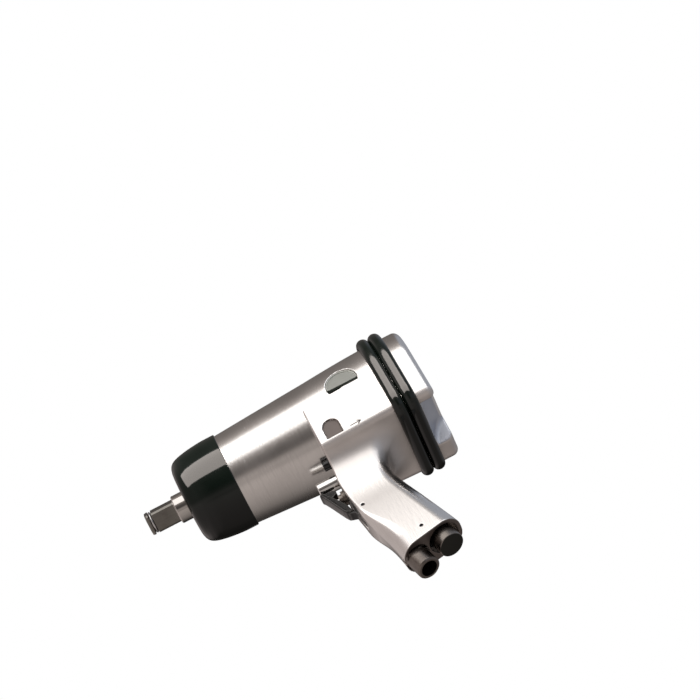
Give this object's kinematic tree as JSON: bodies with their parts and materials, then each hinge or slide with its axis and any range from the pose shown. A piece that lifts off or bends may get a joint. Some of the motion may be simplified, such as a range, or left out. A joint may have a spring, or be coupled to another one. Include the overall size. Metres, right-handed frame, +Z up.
{
  "type": "pneumatic impact wrench",
  "caption": "Pistol-grip air impact wrench with a square drive, black nose boot, bumper rings, trigger, reverse valve, side-by-side air inlet and swivelling exhaust.",
  "frame": {"origin": "centre of the square drive's end face, on the drive axis", "axes": "+X from the drive tip to the rear of the tool along the drive axis, +Z up with the handle hanging down, -Y the side that carries the badge"},
  "size_m": [0.2769, 0.1204, 0.2733],
  "materials": {
    "aluminium_cast": "satin polished cast aluminium with fine brushing",
    "badge_metal": "plain recessed oval plate, satin",
    "boot_black": "glossy black moulded boot",
    "bronze": "sintered bronze",
    "dark_steel": "hardened steel, grey-brown satin",
    "bright_steel": "ground bright steel",
    "polished_steel": "polished steel",
    "black_steel": "black finish over steel",
    "inlet_steel": "dark brown oxide steel",
    "bumper_rubber": "glossy black rubber",
    "seal_rubber": "black nitrile rubber",
    "blade_composite": "resin and fabric laminate"
  },
  "bodies": {
    "tool_body": {"housing": "aluminium_cast", "end_cap": "aluminium_cast", "badge_plate": "badge_metal", "nose_boot": "boot_black", "nose_bushing": "bronze", "front_end_plate": "dark_steel", "front_bearing": "bright_steel", "motor_cylinder": "dark_steel", "cylinder_dowel": "bright_steel", "rear_end_plate": "dark_steel", "rear_bearing": "bright_steel", "rear_gasket": "seal_rubber", "end_cap_screws": "black_steel", "lock_washers": "bright_steel", "front_bumper_ring": "bumper_rubber", "rear_bumper_ring": "bumper_rubber", "trigger_pin": "black_steel", "throttle_bushing": "dark_steel", "throttle_spring": "bright_steel", "reverse_bushing": "bright_steel", "oil_plug": "black_steel", "oil_plug_seal": "seal_rubber", "inlet_bushing": "inlet_steel", "inlet_screen": "bronze", "exhaust_retaining_pin": "black_steel"},
    "anvil": {"anvil": "dark_steel", "socket_retaining_ring": "bright_steel", "ring_backing_o_ring": "seal_rubber"},
    "hammer_frame": {"hammer_cage": "dark_steel", "hammer_pins": "bright_steel"},
    "front_hammer": {"front_hammer": "dark_steel"},
    "rear_hammer": {"rear_hammer": "dark_steel"},
    "rotor": {"rotor": "bright_steel", "rotor_blades": "blade_composite"},
    "trigger": {"trigger": "black_steel"},
    "throttle_valve": {"throttle_stem": "bright_steel", "throttle_valve_disc": "seal_rubber"},
    "reverse_valve": {"reverse_valve": "polished_steel", "reverse_valve_o_ring": "seal_rubber"},
    "exhaust_deflector": {"exhaust_deflector": "inlet_steel", "exhaust_o_ring": "seal_rubber"}
  },
  "joints": [
    {"name": "hammer_frame_spin", "type": "hinge", "parent": "tool_body", "child": "hammer_frame", "pos_m": [0.1, 0, 0], "axis": [1, 0, 0], "continuous": true},
    {"name": "anvil_spin", "type": "hinge", "parent": "tool_body", "child": "anvil", "pos_m": [0.05, 0, 0], "axis": [1, 0, 0], "continuous": true},
    {"name": "rotor_spin", "type": "hinge", "parent": "tool_body", "child": "rotor", "pos_m": [0.188, 0, 0], "axis": [1, 0, 0], "continuous": true},
    {"name": "front_hammer_rock", "type": "hinge", "parent": "hammer_frame", "child": "front_hammer", "pos_m": [0.085, 0.0295, 0], "axis": [1, 0, 0], "range_deg": [-2, 2]},
    {"name": "rear_hammer_rock", "type": "hinge", "parent": "hammer_frame", "child": "rear_hammer", "pos_m": [0.11, -0.0295, 0], "axis": [1, 0, 0], "range_deg": [-2, 2]},
    {"name": "trigger_pull", "type": "hinge", "parent": "tool_body", "child": "trigger", "pos_m": [0.1755, 0, -0.1234], "axis": [0, 1, 0], "range_deg": [0, 5.5]},
    {"name": "throttle_slide", "type": "slide", "parent": "tool_body", "child": "throttle_valve", "axis": [1, 0, 0], "range_m": [0, 0.0042], "deforming": ["throttle_spring"]},
    {"name": "reverse_slide", "type": "slide", "parent": "tool_body", "child": "reverse_valve", "axis": [1, 0, 0], "range_m": [0, 0.012]},
    {"name": "exhaust_swivel", "type": "hinge", "parent": "tool_body", "child": "exhaust_deflector", "pos_m": [0.22081, 0, -0.18072], "axis": [0.2113, 0, -0.9774], "continuous": true}
  ],
  "couplings": [
    {"joint": "anvil_spin", "follows": "hammer_frame_spin", "ratio": 1},
    {"joint": "rotor_spin", "follows": "hammer_frame_spin", "ratio": 1},
    {"joint": "throttle_slide", "follows": "trigger_pull", "m_per_rad": 0.0432}
  ]
}
